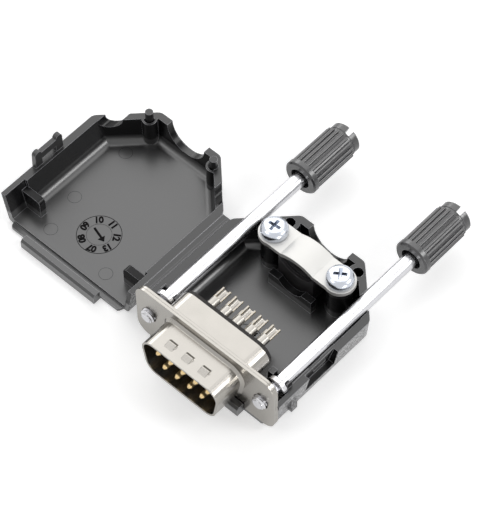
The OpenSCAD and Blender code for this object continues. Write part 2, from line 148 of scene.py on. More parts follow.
def calculate(tree, operation, first, second=0.0, clamp=False):
    """A Math node, fed by sockets or numbers."""
    node = tree.nodes.new("ShaderNodeMath")
    node.operation, node.use_clamp = operation, clamp
    feed(tree, first, node.inputs[0])
    feed(tree, second, node.inputs[1])
    return node.outputs[0]


def largest(tree, *values):
    """The largest of several values."""
    result = values[0]
    for value in values[1:]:
        result = calculate(tree, "MAXIMUM", result, value)
    return result


def compare(tree, value, low, high):
    """Goes smoothly from 0 to 1 as a value goes from low to high."""
    node = tree.nodes.new("ShaderNodeMapRange")
    node.interpolation_type = "SMOOTHSTEP"
    tree.links.new(value, node.inputs["Value"])
    node.inputs["From Min"].default_value = low
    node.inputs["From Max"].default_value = high
    return node.outputs["Result"]


def between(tree, factor, low, high):
    """A value from low to high as factor goes from 0 to 1."""
    node = tree.nodes.new("ShaderNodeMapRange")
    tree.links.new(factor, node.inputs["Value"])
    node.inputs["To Min"].default_value = low
    node.inputs["To Max"].default_value = high
    return node.outputs["Result"]


def mixed(tree, factor, first, second):
    """A colour from first to second as factor goes from 0 to 1; each is a colour or a socket."""
    node = tree.nodes.new("ShaderNodeMix")
    node.data_type = "RGBA"
    tree.links.new(factor, node.inputs["Factor"])
    # A Mix node's sockets share their labels, so its two colours go by number.
    for socket, value in ((node.inputs[6], first), (node.inputs[7], second)):
        is_socket = isinstance(value, bpy.types.NodeSocket)
        feed(tree, value if is_socket else (*value, 1.0), socket)
    return node.outputs[2]


def scaled(value, factor):
    """A colour made lighter or darker."""
    return tuple(min(1.0, channel * factor) for channel in value)


def object_place(tree):
    """X, Y and Z of the shaded point in Object coordinates."""
    place = tree.nodes.new("ShaderNodeSeparateXYZ")
    tree.links.new(tree.nodes.new("ShaderNodeTexCoord").outputs["Object"], place.inputs[0])
    return place.outputs


def noise(tree, size, detail=2.0, roughness=0.5, stretch=None):
    """Noise on Object coordinates; the size of its grains in metres is a socket or a number."""
    place = tree.nodes.new("ShaderNodeTexCoord").outputs["Object"]
    if stretch:
        mapping = tree.nodes.new("ShaderNodeMapping")
        mapping.inputs["Scale"].default_value = stretch
        tree.links.new(place, mapping.inputs["Vector"])
        place = mapping.outputs["Vector"]
    node = tree.nodes.new("ShaderNodeTexNoise")
    node.inputs["Detail"].default_value = detail
    node.inputs["Roughness"].default_value = roughness
    tree.links.new(place, node.inputs["Vector"])
    tree.links.new(calculate(tree, "DIVIDE", 1.0, size), node.inputs["Scale"])
    return node.outputs["Fac"]


def bumped(tree, height, normal, strength, distance):
    """A normal with a relief on it; the strength is a socket or a number."""
    node = tree.nodes.new("ShaderNodeBump")
    node.inputs["Distance"].default_value = distance
    feed(tree, strength, node.inputs["Strength"])
    tree.links.new(height, node.inputs["Height"])
    tree.links.new(normal, node.inputs["Normal"])
    return node.outputs["Normal"]


# ---------------------------------------------------------------- shared shader groups

def new_group(name, inputs, outputs):
    """An empty shader node group with named number inputs and typed outputs."""
    group = bpy.data.node_groups.new(name, "ShaderNodeTree")
    for label, value in inputs:
        group.interface.new_socket(
            name=label, in_out="INPUT", socket_type="NodeSocketFloat").default_value = value
    for label, kind in outputs:
        group.interface.new_socket(name=label, in_out="OUTPUT", socket_type=kind)
    return group, group.nodes.new("NodeGroupInput"), group.nodes.new("NodeGroupOutput")


EDGE_GAIN = 6.0             # how fast the edge mask grows as the normal turns away
FINE_RELIEF, COARSE_RELIEF = 0.02 * MM, 0.1 * MM


def surface_group():
    """Rounded edges with fine grain as a normal, a mask of the edges, and slow mottling."""
    group, given, out = new_group(
        "Worked Surface",
        [("Edge Radius", 0.0001), ("Grain Size", 0.0002), ("Grain Depth", 0.1),
         ("Mottle Size", 0.004)],
        [("Normal", "NodeSocketVector"), ("Edge", "NodeSocketFloat"),
         ("Mottle", "NodeSocketFloat")])
    links = group.links
    rounded = group.nodes.new("ShaderNodeBevel")
    rounded.samples = 6
    links.new(given.outputs["Edge Radius"], rounded.inputs["Radius"])

    geometry = group.nodes.new("ShaderNodeNewGeometry")
    dot = group.nodes.new("ShaderNodeVectorMath")
    dot.operation = "DOT_PRODUCT"
    links.new(rounded.outputs["Normal"], dot.inputs[0])
    links.new(geometry.outputs["Normal"], dot.inputs[1])
    turned_away = calculate(group, "SUBTRACT", 1.0, dot.outputs["Value"])
    links.new(calculate(group, "MULTIPLY", turned_away, EDGE_GAIN, clamp=True),
              out.inputs["Edge"])

    grain = noise(group, given.outputs["Grain Size"], 3.0, 0.6)
    links.new(bumped(group, grain, rounded.outputs["Normal"], given.outputs["Grain Depth"],
                     FINE_RELIEF), out.inputs["Normal"])
    links.new(noise(group, given.outputs["Mottle Size"], 2.0), out.inputs["Mottle"])


# Outer walls of a shell, as the sum of coordinates that grows towards each: how fast the wall
# leans in with depth below the rim, and what the sum comes to at the rim.
WALLS = {"side": (0.188, 15.6 * MM), "slant": (0.041, 38.1 * MM), "back": (0.029, 31.0 * MM)}
# Where each zone of a shell fades in: how far inside a wall, up from the underside, back from
# the mouth's end, and below the rim.
INSIDE_WALL = (0.2 * MM, 0.15 * MM)
UNDERSIDE = (0.66 * MM, 0.62 * MM)
BEHIND_MOUTH = (0.03 * MM, 0.06 * MM)
BELOW_RIM = (0.04 * MM, 0.07 * MM)
# Where the floors' gloss and the rims' gloss fade in, going down and going up.
FLOOR_LEVEL = (2.9 * MM, 2.3 * MM)
RIM_LEVEL = (0.08 * MM, 0.05 * MM)
RIM_GLOSS = 0.55
PITTED_GLOSS = (0.3, 1.0)
PITS = (0.42, 0.62)         # the values of the speckle's noise between hollow and high


def shell_zones_group():
    """Mask of the shells' outer sides, their gloss, and an eroded speckle."""
    group, given, out = new_group(
        "Shell Zones", [("Grain Size", 0.0003)],
        [("Outer", "NodeSocketFloat"), ("Gloss", "NodeSocketFloat"),
         ("Speckle", "NodeSocketFloat"), ("Height", "NodeSocketFloat")])
    x, y, z = object_place(group)
    across = calculate(group, "ABSOLUTE", calculate(group, "SUBTRACT", x, FOLD.x))
    across = calculate(group, "ABSOLUTE", calculate(group, "ADD", across, FOLD.x))
    depth = calculate(group, "SUBTRACT", PARTING_Z, z)

    # The outer sides: the walls and the underside, but not the rim or the mouth's end.
    reach = {"side": across, "slant": calculate(group, "ADD", across, y), "back": y}
    walls = [compare(group, calculate(group, "ADD", reach[wall],
                                      calculate(group, "MULTIPLY", depth, slope)),
                     *(edge - inside for inside in INSIDE_WALL))
             for wall, (slope, edge) in WALLS.items()]
    under = calculate(group, "MULTIPLY", compare(group, z, *UNDERSIDE),
                      compare(group, y, *BEHIND_MOUTH))
    outer = calculate(group, "MULTIPLY", largest(group, *walls, under),
                      compare(group, depth, *BELOW_RIM))

    # The gloss: full on the floors and fillets, some on the rims, uneven on the outer sides.
    speckle = noise(group, given.outputs["Grain Size"], 2.0, 0.7)
    speckled = compare(group, speckle, *PITS)
    floors = compare(group, z, *FLOOR_LEVEL)
    rims = calculate(group, "MULTIPLY", RIM_GLOSS, compare(group, depth, *RIM_LEVEL))
    pitted = calculate(group, "MULTIPLY", outer, between(group, speckled, *PITTED_GLOSS))
    level = calculate(group, "MULTIPLY", largest(group, floors, rims),
                      calculate(group, "SUBTRACT", 1.0, outer))
    results = {"Outer": outer, "Gloss": largest(group, level, pitted), "Speckle": speckled,
               "Height": calculate(group, "MULTIPLY", speckle, outer)}
    for label, socket in results.items():
        group.links.new(socket, out.inputs[label])


def place_group(tree, name, values):
    """Puts a shared group into a material, with this material's values."""
    node = tree.nodes.new("ShaderNodeGroup")
    node.node_tree = bpy.data.node_groups[name]
    for label, value in values.items():
        node.inputs[label].default_value = value
    return node


# ---------------------------------------------------------------- materials

PATCH = 0.93                # darkest mottling, as a share of the base colour
SPECKLE_GRAIN = 0.42        # size of the outer sides' grains, in millimetres
TIN_BLEND = 0.3             # length over which tin runs out on a contact, in millimetres
PIT_STRENGTH = 0.8
LATHE_STRENGTH, LATHE_STRETCH = 0.25, (0.04, 1.0, 0.04)

MATERIALS = {}


def finish(name, base, rough, edge, depth, metallic=0.0, edge_radius=0.12, grain=0.2,
           mottle=4.0, brushed=None, skin=None, tinned=None, **sockets):
    """A worked plastic or metal, with its sizes in millimetres.

    rough is the range of the roughness, edge how much lighter the edges are than the base, a
    painted highlight along the rounded edges, and depth how strong the grain is. brushed is the
    spacing of turning marks round the Y axis, skin the dark and light factors of an eroded outer
    side, and tinned the Y behind which another colour covers the base. Further names set sockets
    of the shader.
    """
    material = bpy.data.materials.new(name)
    material.use_nodes = True
    tree = material.node_tree
    shader = tree.nodes["Principled BSDF"]
    shader.inputs["Metallic"].default_value = metallic
    for label, value in sockets.items():
        shader.inputs[label.replace("_", " ")].default_value = value
    surface = place_group(tree, "Worked Surface", {
        "Edge Radius": edge_radius * MM, "Grain Size": grain * MM,
        "Grain Depth": depth, "Mottle Size": mottle * MM})
    mottling, normal = surface.outputs["Mottle"], surface.outputs["Normal"]
    ground = mixed(tree, mottling, scaled(base, PATCH), scaled(base, 2 - PATCH))
    if tinned:
        start, cover = tinned
        behind = compare(tree, object_place(tree)["Y"], start * MM, (start + TIN_BLEND) * MM)
        ground = mixed(tree, behind, ground, cover)
    # The edge mask lightens the colour by the edge factor: a painted highlight along rounded
    # edges.
    ground = mixed(tree, surface.outputs["Edge"], ground, scaled(base, edge))
    if skin:
        zones = place_group(tree, "Shell Zones", {"Grain Size": SPECKLE_GRAIN * MM})
        speckled = mixed(tree, zones.outputs["Speckle"], scaled(base, skin[0]),
                         scaled(base, skin[1]))
        ground = mixed(tree, zones.outputs["Outer"], ground, speckled)
        tree.links.new(zones.outputs["Gloss"], shader.inputs["Coat Weight"])
        normal = bumped(tree, zones.outputs["Height"], normal, PIT_STRENGTH, COARSE_RELIEF)
    if brushed:
        lines = noise(tree, brushed * MM, 2.0, 0.6, stretch=LATHE_STRETCH)
        normal = bumped(tree, lines, normal, LATHE_STRENGTH, FINE_RELIEF)
    tree.links.new(ground, shader.inputs["Base Color"])
    tree.links.new(between(tree, mottling, *rough), shader.inputs["Roughness"])
    tree.links.new(normal, shader.inputs["Normal"])
    return material


def make_materials():
    """Builds the shared groups and every finish once."""
    surface_group()
    shell_zones_group()
    look = colours()
    MATERIALS.update({
        # The hood's large edge factor paints bright highlight lines along its rims and ridges.
        "hood": finish("hood_plastic", look.hood, (0.20, 0.28), edge=38.0, depth=0.22,
                       grain=0.22, edge_radius=0.17, mottle=6.0, skin=(2.5, 11.0),
                       Specular_IOR_Level=0.18, Coat_Roughness=0.32, Coat_IOR=1.72),
        # Dial rings, numbers, arrow and ejector marks get a colour far darker than the hood:
        # painted shade standing in for the shading of their raised edges.
        "relief_painted_shade": finish("dial_relief", scaled(look.hood, 0.2), (0.75, 0.85), edge=1.0,
                      depth=0.05, edge_radius=0.02, Specular_IOR_Level=0.12),
        "knob": finish("knob_plastic", look.knob, (0.22, 0.30), edge=6.0, depth=0.18,
                       grain=0.25, Specular_IOR_Level=0.9),
        "grip": finish("grip_plastic", look.grip, (0.30, 0.42), edge=1.5, depth=0.12,
                       edge_radius=0.1),
        "nickel": finish("rod_steel", look.nickel, (0.20, 0.30), edge=1.1, depth=0.03,
                         metallic=1.0, edge_radius=0.08, brushed=0.12),
        "clamp": finish("clamp_steel", look.clamp, (0.52, 0.64), edge=1.1, depth=0.10,
                        metallic=1.0, grain=0.35),
        "zinc": finish("screw_zinc", look.zinc, (0.16, 0.28), edge=1.1, depth=0.05,
                       metallic=1.0, edge_radius=0.08),
        "tin": finish("shell_tin", look.tin, (0.17, 0.30), edge=1.15, depth=0.14,
                      metallic=1.0, edge_radius=0.14, grain=0.5, mottle=3.0),
        "insulator": finish("insulator", look.insulator, (0.40, 0.50), edge=1.6, depth=0.08,
                            Specular_IOR_Level=0.3),
        "gold": finish("contact_gold", look.gold, (0.32, 0.44), edge=1.1, depth=0.03,
                       metallic=1.0, edge_radius=0.06, tinned=(4.9, look.tin)),
    })


def dress(material, *nodes):
    """Gives CAD nodes a finish."""
    for name in nodes:
        for slot in NODES[name].material_slots:
            slot.material = MATERIALS[material]


# ---------------------------------------------------------------- modelling helpers

def deselect():
    """Leaves edit mode and deselects everything."""
    if bpy.context.object and bpy.context.object.mode != "OBJECT":
        bpy.ops.object.mode_set(mode="OBJECT")
    bpy.ops.object.select_all(action="DESELECT")


def pick(*pieces):
    """Selects only these pieces and makes the first one active."""
    deselect()
    for piece in pieces:
        piece.select_set(True)
    bpy.context.view_layer.objects.active = pieces[0]


def fix_place():
    """Puts the selected piece's place, turn and scale into its mesh."""
    bpy.ops.object.transform_apply(location=True, rotation=True, scale=True)


def begin(name):
    """Names the primitive just added and opens it in edit mode."""
    piece = bpy.context.object
    piece.name = piece.data.name = name
    bpy.ops.object.mode_set(mode="EDIT")
    return piece


def end():
    """Turns all faces outwards and leaves edit mode."""
    bpy.ops.mesh.select_all(action="SELECT")
    bpy.ops.mesh.normals_make_consistent(inside=False)
    bpy.ops.object.mode_set(mode="OBJECT")


def extrude(move):
    """Extrudes the selected faces or edges and moves what is new."""
    bpy.ops.mesh.extrude_region_move(TRANSFORM_OT_translate={"value": move})


NEAR = 0.02 * MM            # tolerance for choosing vertices and edges by their place


def choose(piece, kind, test):
    """In edit mode, selects the VERT, EDGE or FACE items whose middle passes a test."""
    bpy.ops.mesh.select_mode(type=kind)
    bpy.ops.mesh.select_all(action="DESELECT")
    mesh = bmesh.from_edit_mesh(piece.data)
    items = {"VERT": mesh.verts, "EDGE": mesh.edges, "FACE": mesh.faces}[kind]
    for item in items:
        if kind == "VERT":
            place = item.co
        else:
            place = sum((v.co for v in item.verts), Vector()) / len(item.verts)
        if test(place):
            item.select_set(True)
    mesh.select_flush_mode()
    bmesh.update_edit_mesh(piece.data)


def modify(piece, kind, **settings):
    """Adds a modifier and applies it."""
    pick(piece)
    modifier = piece.modifiers.new(kind.title(), kind)
    for label, value in settings.items():
        setattr(modifier, label, value)
    bpy.ops.object.modifier_apply(modifier=modifier.name)


def cut(piece, tool, operation="DIFFERENCE"):
    """Joins, cuts or trims a piece with another, which is then removed."""
    modify(piece, "BOOLEAN", object=tool, operation=operation, solver="EXACT")
    bpy.data.objects.remove(tool)


def join(pieces, name):
    """Joins pieces into one."""
    pick(*pieces)
    bpy.ops.object.join()
    pieces[0].name = pieces[0].data.name = name
    return pieces[0]


def settle(piece, smooth=32):
    """Puts a piece's place into its mesh and smooths its faces up to an angle in degrees."""
    pick(piece)
    fix_place()
    bpy.ops.object.shade_smooth_by_angle(angle=math.radians(smooth))
    return piece


def wear(piece, material, body, smooth=32):
    """Settles a piece, gives it its finish and sets it on its body."""
    settle(piece, smooth)
    piece.data.materials.clear()
    piece.data.materials.append(MATERIALS[material])
    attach(piece, body)
    return piece


def lathe(name, profile, centre, segments=64, along="Y"):
    """A turned piece: rings of (radius, position) along an axis, closed at both ends."""
    deselect()
    radius, start = profile[0]
    rotation = (math.radians(-90), 0, 0) if along == "Y" else (0, 0, 0)
    axis = Vector((0, 1, 0)) if along == "Y" else Vector((0, 0, 1))
    bpy.ops.mesh.primitive_circle_add(
        vertices=segments, radius=radius, fill_type="NGON",
        location=Vector(centre) + axis * start, rotation=rotation)
    fix_place()
    piece = begin(name)
    bpy.ops.mesh.select_all(action="SELECT")
    for next_radius, position in profile[1:]:
        extrude(axis * (position - start))
        k = next_radius / radius
        bpy.ops.transform.resize(value=(k, 1, k) if along == "Y" else (k, k, 1),
                                 center_override=Vector(centre) + axis * position)
        radius, start = next_radius, position
    end()
    return piece


def ring(name, x, y, z, outer, width, rise, segments=96):
    """A flat raised ring on a floor, a little narrower at its top."""
    deselect()
    bpy.ops.mesh.primitive_circle_add(
        vertices=segments, radius=outer, fill_type="NOTHING", location=(x, y, z))
    fix_place()
    piece = begin(name)
    inner = (outer - width) / outer
    taper = 1 - width / outer * 0.12
    bpy.ops.mesh.select_all(action="SELECT")
    bpy.ops.mesh.extrude_edges_move()
    bpy.ops.transform.resize(value=(inner, inner, 1), center_override=(x, y, z))
    bpy.ops.mesh.select_mode(type="FACE")
    bpy.ops.mesh.select_all(action="SELECT")
    extrude((0, 0, rise))
    bpy.ops.transform.resize(value=(taper, taper, 1), center_override=(x, y, z))
    end()
    return piece


# ---------------------------------------------------------------- shells

SHELLS = {"base": 0, "cover": COVER_X}
# Corners of a shell's floor from the mouth's right end round to its left end, and how far the
# walls between them lean out over their height, all in millimetres.
FLOOR_CORNERS = ((13.017, 4.85), (13.017, 22.938), (6.472, 29.483), (-6.472, 29.483),
                 (-13.017, 22.938), (-13.017, 4.85))
WALL_HEIGHT, SIDE_LEAN, END_LEAN = 6.9, 1.3, 0.2
# How much a fillet grows with its wall's lean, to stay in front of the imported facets.
FILLET_GROWTH = 1.15


class HOOD_OT_shells(bpy.types.Operator):
    """Gives both shells their moulded finish"""

    bl_idname = "hood.shells"
    bl_label = "Shell Finish"

    def execute(self, context):
        dress("hood", "base_shell", "cover_shell")
        return {"FINISHED"}


def floor_fillet(shell_x, start, stop, lean):
    """A rounded corner between a shell's floor and the wall above a line of its floor.

    The wall stands to the left of the line and leans out by an angle in radians.
    """
    quarter = math.radians(90)
    along = Vector((stop[0] - start[0], stop[1] - start[1], 0)) * MM
    inward = along.cross(Vector((0, 0, 1))).normalized()
    radius = sizes().fillet_r * (1 + FILLET_GROWTH * lean)
    centre = (Vector((shell_x, 0, FLOOR_Z + radius)) + Vector((*start, 0)) * MM + along / 2
              + inward * radius * (1 - math.sin(lean)) / math.cos(lean))
    deselect()
    bpy.ops.mesh.primitive_cylinder_add(
        vertices=72, radius=radius, depth=along.length, end_fill_type="NOTHING",
        location=centre, rotation=(quarter, 0, math.atan2(along.y, along.x) + quarter))
    fix_place()
    fillet = begin("floor_fillet")
    choose(fillet, "FACE", lambda place: (place - centre).dot(inward) >= 0
           or place.z >= centre.z - radius * math.sin(lean))
    bpy.ops.mesh.delete(type="FACE")
    bpy.ops.mesh.select_all(action="SELECT")
    bpy.ops.mesh.flip_normals()
    bpy.ops.object.mode_set(mode="OBJECT")
    return fillet


class HOOD_OT_fillets(bpy.types.Operator):
    """Rounds the corners between the floors and the walls of the two shells"""

    bl_idname = "hood.fillets"
    bl_label = "Floor Fillets"

    def execute(self, context):
        side, end_wall = (math.atan(lean / WALL_HEIGHT) for lean in (SIDE_LEAN, END_LEAN))
        leans = (side, end_wall, end_wall, end_wall, side)
        for body, shell_x in SHELLS.items():
            runs = [floor_fillet(shell_x, start, stop, lean)
                    for start, stop, lean in zip(FLOOR_CORNERS[1:], FLOOR_CORNERS, leans)]
            wear(join(runs, f"{body}_floor_fillets"), "hood", body)
        return {"FINISHED"}


# Middles of the ejector pins' marks on the cover's floor: distance towards the free side from
# the cover's middle, and Y, in millimetres.
EJECTOR_PINS = ((8.7, 23.3), (8.7, 10.5), (7.0, 2.9), (-6.5, 2.6))
MARK_WIDTH, MARK_RISE = 0.04 * MM, 0.01 * MM


class HOOD_OT_marks(bpy.types.Operator):
    """Adds the faint marks of the ejector pins on the cover's floor"""

    bl_idname = "hood.marks"
    bl_label = "Ejector Marks"

    def execute(self, context):
        rings = [ring("mark", COVER_X - outwards * MM, y * MM, FLOOR_Z, sizes().mark_r,
                      MARK_WIDTH, MARK_RISE, segments=48) for outwards, y in EJECTOR_PINS]
        # The marks wear the darkened relief finish, a painted shade.
        wear(join(rings, "cover_ejector_marks"), "relief_painted_shade", "cover")
        return {"FINISHED"}


FILM_Y = (0.3 * MM, 22.2 * MM)
FILM_THICK = 0.35 * MM
FILM_WIDTH, FILM_STEPS = 1.6 * MM, 40
# Raised lines along the film: how far beside the fold and how high, in millimetres. Each is
# built up in two steps, of a reach in millimetres and a share of the height.
FILM_LINES = ((-0.70, 0.06), (0.28, 0.03), (0.68, 0.04))
LINE_STEPS = ((0.06, 0.6), (0.02, 0.4))


class HOOD_OT_film(bpy.types.Operator):
    """Adds the skin of the film hinge between the two halves"""

    bl_idname = "hood.film"
    bl_label = "Film Hinge"

    def execute(self, context):
        skin = sizes().film_rise
        front, back = FILM_Y[0] - skin, FILM_Y[1] + skin
        top, bottom = PARTING_Z + skin, PARTING_Z - FILM_THICK - skin
        deselect()
        bpy.ops.mesh.primitive_plane_add(
            size=1, rotation=(0, math.radians(90), 0),
            location=(FOLD.x + FILM_WIDTH / 2, (front + back) / 2, (top + bottom) / 2))
        bpy.context.object.scale = (top - bottom, back - front, 1)
        fix_place()
        film = begin("hinge_film")
        bpy.ops.mesh.select_all(action="SELECT")
        for _ in range(FILM_STEPS):
            extrude((-FILM_WIDTH / FILM_STEPS, 0, 0))
        for beside, rise in FILM_LINES:
            line_x = FOLD.x + beside * MM
            for reach, share in LINE_STEPS:
                choose(film, "VERT", lambda place: place.z > PARTING_Z - NEAR
                       and abs(place.x - line_x) < reach * MM)
                bpy.ops.transform.translate(value=(0, 0, rise * share * MM))
        end()
        settle(film, 60)
        film.data.materials.append(MATERIALS["hood"])
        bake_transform(film)
        return {"FINISHED"}


# ---------------------------------------------------------------- date dials

# Each ring's width and its height as a share of the numbers' height.
RIM_RING, HUB_RING = (0.10 * MM, 0.3), (0.05 * MM, 0.2)
# The numbers stand this far inside the middle between the two rings.
NUMBER_INSET = 0.1 * MM
NUMBER_BOLD, NUMBER_SPACING = 0.035, 0.92
# The arrow in millimetres: half its length, half the shaft's width, half the head's width and
# the head's length. Its point keeps a small share of the head's width.
ARROW_HALF, ARROW_SHAFT, ARROW_HEAD, ARROW_HEAD_LENGTH = 1.65, 0.2, 0.68, 0.9
ARROW_POINT = 0.06


def dial_number(text, x, y, z, radius, angle, size, rise):
    """One raised number, standing with its top outwards."""
    deselect()
    bpy.ops.object.text_add(location=(0, 0, 0))
    data = bpy.context.object.data
    data.body, data.size, data.extrude = text, size, rise / 2
    data.offset = size * NUMBER_BOLD
    data.space_character = NUMBER_SPACING
    data.align_x, data.align_y = "CENTER", "CENTER"
    data.resolution_u = 3
    bpy.ops.object.convert(target="MESH")
    number = bpy.context.object
    turn = math.radians(angle)
    number.location = (x + radius * math.cos(turn), y + radius * math.sin(turn), z)
    number.rotation_euler = (0, 0, turn - math.pi / 2)
    pick(number)
    fix_place()
    return number


def dial_arrow(name, x, y, z, angle, rise):
    """A raised arrow through the middle of a dial."""
    deselect()
    bpy.ops.mesh.primitive_plane_add(size=1, location=(0, 0, 0))
    arrow = begin(name)
    neck = (ARROW_HALF - ARROW_HEAD_LENGTH) * MM
    bpy.ops.transform.resize(
        value=((2 * ARROW_HALF - ARROW_HEAD_LENGTH) * MM, 2 * ARROW_SHAFT * MM, 1))
    bpy.ops.transform.translate(value=(-ARROW_HEAD_LENGTH / 2 * MM, 0, 0))
    choose(arrow, "EDGE", lambda place: place.x > neck - NEAR)
    for move, width in ((0, ARROW_HEAD / ARROW_SHAFT), (ARROW_HEAD_LENGTH * MM, ARROW_POINT)):
        bpy.ops.mesh.extrude_edges_move(TRANSFORM_OT_translate={"value": (move, 0, 0)})
        bpy.ops.transform.resize(value=(1, width, 1), center_override=(neck, 0, 0))
    bpy.ops.mesh.select_mode(type="FACE")
    bpy.ops.mesh.select_all(action="SELECT")
    bpy.ops.mesh.dissolve_degenerate(threshold=0.001 * MM)
    bpy.ops.mesh.select_all(action="SELECT")
    extrude((0, 0, rise))
    end()
    arrow.location = (x, y, z)
    arrow.rotation_euler = (0, 0, math.radians(angle))
    return arrow


def date_dial(half, y, numbers, first_angle, arrow_angle, size):
    """Rings, raised numbers and an arrow on the floor of one half."""
    x, z, rise = SHELLS[half], FLOOR_Z, sizes().dial_rise
    rim_r, hub_r = sizes().dial_r, sizes().dial_hub_r
    rings = [ring("ring", x, y, z, radius, width, rise * share)
             for radius, (width, share) in ((rim_r, RIM_RING), (hub_r, HUB_RING))]
    # Rings, numbers and arrow wear the darkened relief finish, a painted shade.
    wear(join(rings, f"{half}_dial_rings"), "relief_painted_shade", half)
    number_r = (rim_r + hub_r) / 2 - NUMBER_INSET
    step = 360 / len(numbers)
    marks = [dial_number(text, x, y, z + rise / 2, number_r, first_angle - step * n, size, rise)
             for n, text in enumerate(numbers)]
    wear(join(marks, f"{half}_dial_numbers"), "relief_painted_shade", half)
    wear(dial_arrow(f"{half}_dial_arrow", x, y, z, arrow_angle, rise),
         "relief_painted_shade", half)


class HOOD_OT_dials(bpy.types.Operator):
    """Adds the numbered date dials on the floors of both halves"""

    bl_idname = "hood.dials"
    bl_label = "Date Dials"

    def execute(self, context):
        years = ("10", "11", "12", "13", "07", "08", "09")
        months = [str(n) for n in (12, *range(1, 12))]
        date_dial("cover", 7.66 * MM, years, first_angle=135, arrow_angle=-16, size=1.75 * MM)
        date_dial("base", 7.5 * MM, months, first_angle=200, arrow_angle=77, size=1.45 * MM)
        return {"FINISHED"}


# ---------------------------------------------------------------- thumbscrews

COLLAR_Y = (2.4 * MM, 3.45 * MM)
COLLAR_EDGE = 0.14 * MM
ROD_R = 1.35 * MM
TIP_CHAMFER = 0.25 * MM
# The ridge of a thread is trimmed to a sleeve: how far the sleeve's tip is below the root, how
# far it takes to reach the crest, and where it leaves the crest and ends before the collar.
SLEEVE_SUNK, RUN_IN, RUN_OUT, RELIEF = 0.15 * MM, 0.45 * MM, 0.3 * MM, 0.05 * MM
# A thread's ridge starts inside the core; its flanks' half widths are shares of the pitch.
RIDGE_SUNK = 0.08 * MM
RIDGE_FOOT, RIDGE_CREST = 0.47, 0.07


def thread(name, centre, y0, y1, root, crest, pitch, steps=28):
    """A helical ridge round the Y axis through centre, from a turn before y0 past y1."""
    deselect()
    bpy.ops.mesh.primitive_plane_add(size=1, location=(0, 0, 0))
    ridge = begin(name)
    sunk = root - RIDGE_SUNK
    flank = ((sunk, -RIDGE_FOOT), (crest, -RIDGE_CREST), (crest, RIDGE_CREST),
             (sunk, RIDGE_FOOT))
    mesh = bmesh.from_edit_mesh(ridge.data)
    mesh.faces.ensure_lookup_table()
    for loop, (radius, offset) in zip(mesh.faces[0].loops, flank):
        loop.vert.co = (radius, offset * pitch, 0)
    bmesh.update_edit_mesh(ridge.data)
    bpy.ops.object.mode_set(mode="OBJECT")
    turns = math.ceil((y1 - y0) / pitch) + 2
    modify(ridge, "SCREW", axis="Y", angle=math.tau, steps=steps, render_steps=steps,
           screw_offset=pitch, iterations=turns, use_merge_vertices=False)
    bpy.ops.object.mode_set(mode="EDIT")
    bpy.ops.mesh.select_all(action="SELECT")
    bpy.ops.mesh.remove_doubles(threshold=0.001 * MM)
    bpy.ops.mesh.select_all(action="DESELECT")
    bpy.ops.mesh.select_mode(type="EDGE")
    bpy.ops.mesh.select_non_manifold()
    bpy.ops.mesh.edge_face_add()
    end()
    ridge.location = Vector(centre) + Vector((0, y0 - pitch, 0))
    pick(ridge)
    fix_place()
    return ridge


def threaded_rod(side):
    """Rod of a thumbscrew with a cut thread, replacing the plain packed one."""
    packed = f"thumbscrew_rod_{side}"
    low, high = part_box(packed)
    centre = Vector((middle(packed).x, 0, PARTING_Z))
    crest, root = sizes().thread_r, sizes().thread_root_r
    tip, (front, back), collar_r = low.y, COLLAR_Y, high.x - centre.x
    core = lathe(f"thumbscrew_screw_{side}", [
        (root - TIP_CHAMFER, tip), (root, tip + TIP_CHAMFER), (root, front),
        (collar_r - COLLAR_EDGE, front), (collar_r, front + COLLAR_EDGE),
        (collar_r, back - COLLAR_EDGE), (collar_r - COLLAR_EDGE, back),
        (ROD_R, back), (ROD_R, high.y)], centre)
    ridge = thread("ridge", centre, tip, front, root, crest, sizes().thread_pitch)
    sleeve = lathe("sleeve", [
        (root - SLEEVE_SUNK, tip), (crest, tip + RUN_IN), (crest, front - RUN_OUT),
        (root, front - RELIEF)], centre)
    cut(ridge, sleeve, "INTERSECT")
    cut(core, ridge, "UNION")
    wear(core, "nickel", f"thumbscrew_{side}", smooth=28)
    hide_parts(packed)


class HOOD_OT_thumbscrews(bpy.types.Operator):
    """Adds the threaded rods and gives the knobs their finish"""

    bl_idname = "hood.thumbscrews"
    bl_label = "Thumbscrews"

    def execute(self, context):
        for side in SIDES:
            threaded_rod(side)
            dress("knob", f"thumbscrew_knob_{side}")
        return {"FINISHED"}


# ---------------------------------------------------------------- cable clamp

SCREW_X = 7.35 * MM
SHANK_R, SHANK_TIP_R, SHANK_TIP = 1.08 * MM, 0.5 * MM, 1.2 * MM
# The head: its height, its rounded lower edge, its upright rim, and its dome above the rim.
HEAD_HEIGHT, HEAD_EDGE, HEAD_RIM, HEAD_DOME = 1.9 * MM, 0.18 * MM, 0.75 * MM, 1.15 * MM
HEAD_FLAT_R = 0.3 * MM
DOME_FULLNESS, DOME_STEPS = 0.55, range(8, 84, 8)
RECESS_TURN = {"left": 5, "right": 35}
# A blade of the cross recess: length, width and height at the head's top, how far it stands
# out of it, and how much of the length and width is left at its lower end.
BLADE = (2.75 * MM, 0.66 * MM, 1.5 * MM)
BLADE_ABOVE = 0.3 * MM
BLADE_TAPER = (0.42, 0.5, 1)


def recess_blade(top, turn, x, y):
    """One tapered blade of a cross recess."""
    deselect()
    middle_z = top + BLADE_ABOVE - BLADE[2] / 2
    bpy.ops.mesh.primitive_cube_add(size=1, location=(x, y, middle_z))
    bpy.context.object.scale = BLADE
    fix_place()
    blade = begin("blade")
    choose(blade, "FACE", lambda place: place.z < middle_z - BLADE[2] / 4)
    bpy.ops.transform.resize(value=BLADE_TAPER, center_override=(x, y, top))
    bpy.ops.mesh.select_all(action="SELECT")
    bpy.ops.transform.rotate(value=-turn, orient_axis="Z", center_override=(x, y, top))
    end()
    return blade


